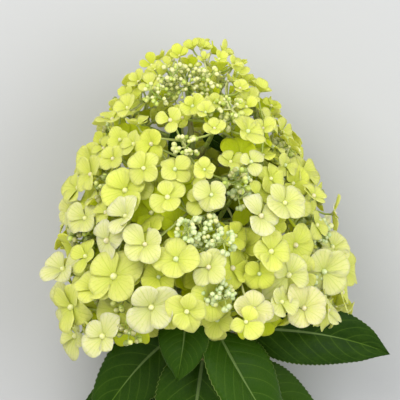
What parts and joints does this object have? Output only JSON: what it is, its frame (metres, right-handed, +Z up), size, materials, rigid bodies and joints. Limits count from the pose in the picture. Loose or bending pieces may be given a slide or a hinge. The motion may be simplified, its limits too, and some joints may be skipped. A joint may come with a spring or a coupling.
{
  "type": "cut panicle hydrangea bloom",
  "caption": "Cone-shaped head of pale lime four-sepalled florets and small green buds on a branched stem, with toothed dark green leaves, cut and lying on its back.",
  "frame": {"origin": "middle of the bounding box at ground level, under the bloom", "axes": "+Y along the stem towards the tip of the bloom, +X to the right seen from above, +Z up from the ground it lies on"},
  "size_m": [0.2507, 0.3567, 0.1878],
  "materials": {
    "stem": "matt green to brown bark",
    "blossom": "soft matt petal with a faint waxy sheen",
    "leaf": "semi-gloss leaf"
  },
  "bodies": {
    "root": {"bract_left": "leaf", "bract_low": "leaf", "bract_right": "leaf", "branch_1_1": "stem", "branch_1_2": "stem", "branch_1_3": "stem", "branch_1_4": "stem", "branch_1_5": "stem", "branch_1_6": "stem", "branch_2_1": "stem", "branch_2_2": "stem", "branch_2_3": "stem", "branch_2_4": "stem", "branch_2_5": "stem", "branch_3_1": "stem", "branch_3_2": "stem", "branch_3_3": "stem", "branch_3_4": "stem", "branch_3_5": "stem", "branch_4_1": "stem", "branch_4_2": "stem", "branch_4_3": "stem", "branch_4_4": "stem", "branch_5_1": "stem", "branch_5_2": "stem", "branch_5_3": "stem", "leaf_back": "leaf", "leaf_back_left": "leaf", "leaf_front": "leaf", "leaf_left": "leaf", "leaf_low": "leaf", "leaf_right": "leaf", "leaf_small": "leaf", "leaf_under": "leaf", "spray_1_1": "blossom", "spray_1_2": "blossom", "spray_1_3": "blossom", "spray_1_4": "blossom", "spray_1_5": "blossom", "spray_1_6": "blossom", "spray_2_1": "blossom", "spray_2_2": "blossom", "spray_2_3": "blossom", "spray_2_4": "blossom", "spray_2_5": "blossom", "spray_3_1": "blossom", "spray_3_2": "blossom", "spray_3_3": "blossom", "spray_3_4": "blossom", "spray_3_5": "blossom", "spray_4_1": "blossom", "spray_4_2": "blossom", "spray_4_3": "blossom", "spray_4_4": "blossom", "spray_5_1": "blossom", "spray_5_2": "blossom", "spray_5_3": "blossom", "spray_tip": "blossom", "stem": "stem"}
  },
  "joints": []
}
